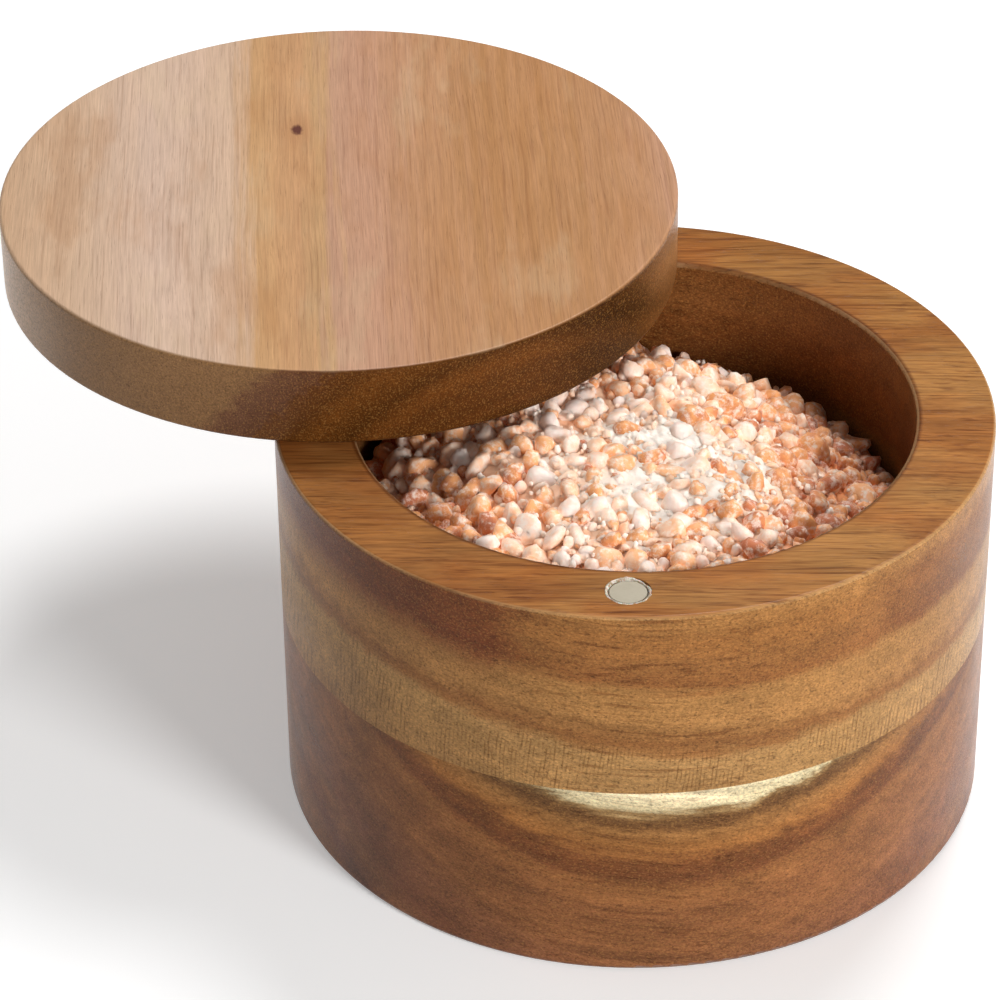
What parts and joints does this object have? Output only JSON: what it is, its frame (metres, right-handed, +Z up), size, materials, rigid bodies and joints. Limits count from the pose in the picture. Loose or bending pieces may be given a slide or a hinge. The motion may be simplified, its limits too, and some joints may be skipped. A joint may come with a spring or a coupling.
{
  "type": "swivel-lid salt box",
  "caption": "Round turned wooden salt box with a flat disc lid that swivels sideways on an upright pin and is held shut by magnets.",
  "frame": {"origin": "centre of the flat underside of the box, on the surface it stands on", "axes": "+Z up along the box's turning axis; +Y towards the back, where the pivot pin stands; -Y towards the front, where the magnets meet; stored with the lid swung open to -X as pictured"},
  "size_m": [0.1268, 0.1223, 0.0635],
  "materials": {
    "wood_lower": "oiled, smooth sanded",
    "wood_upper": "oiled, smooth sanded",
    "wood_lid": "oiled, smooth sanded",
    "pin_steel": "ground",
    "magnet_plating": "satin nickel plating",
    "magnet_glue": "dried whitish glue"
  },
  "bodies": {
    "box": {"body_lower_board": "wood_lower", "body_upper_board": "wood_upper", "pivot_pin": "pin_steel", "rim_magnet": "magnet_plating", "rim_magnet_glue": "magnet_glue"},
    "lid": {"lid_board": "wood_lid", "lid_magnet": "magnet_plating", "lid_magnet_glue": "magnet_glue"}
  },
  "joints": [
    {"name": "lid_swivel", "type": "hinge", "parent": "box", "child": "lid", "pos_m": [0, 0.039, 0.0529], "axis": [0, 0, 1], "range_deg": [-277, 83]}
  ]
}
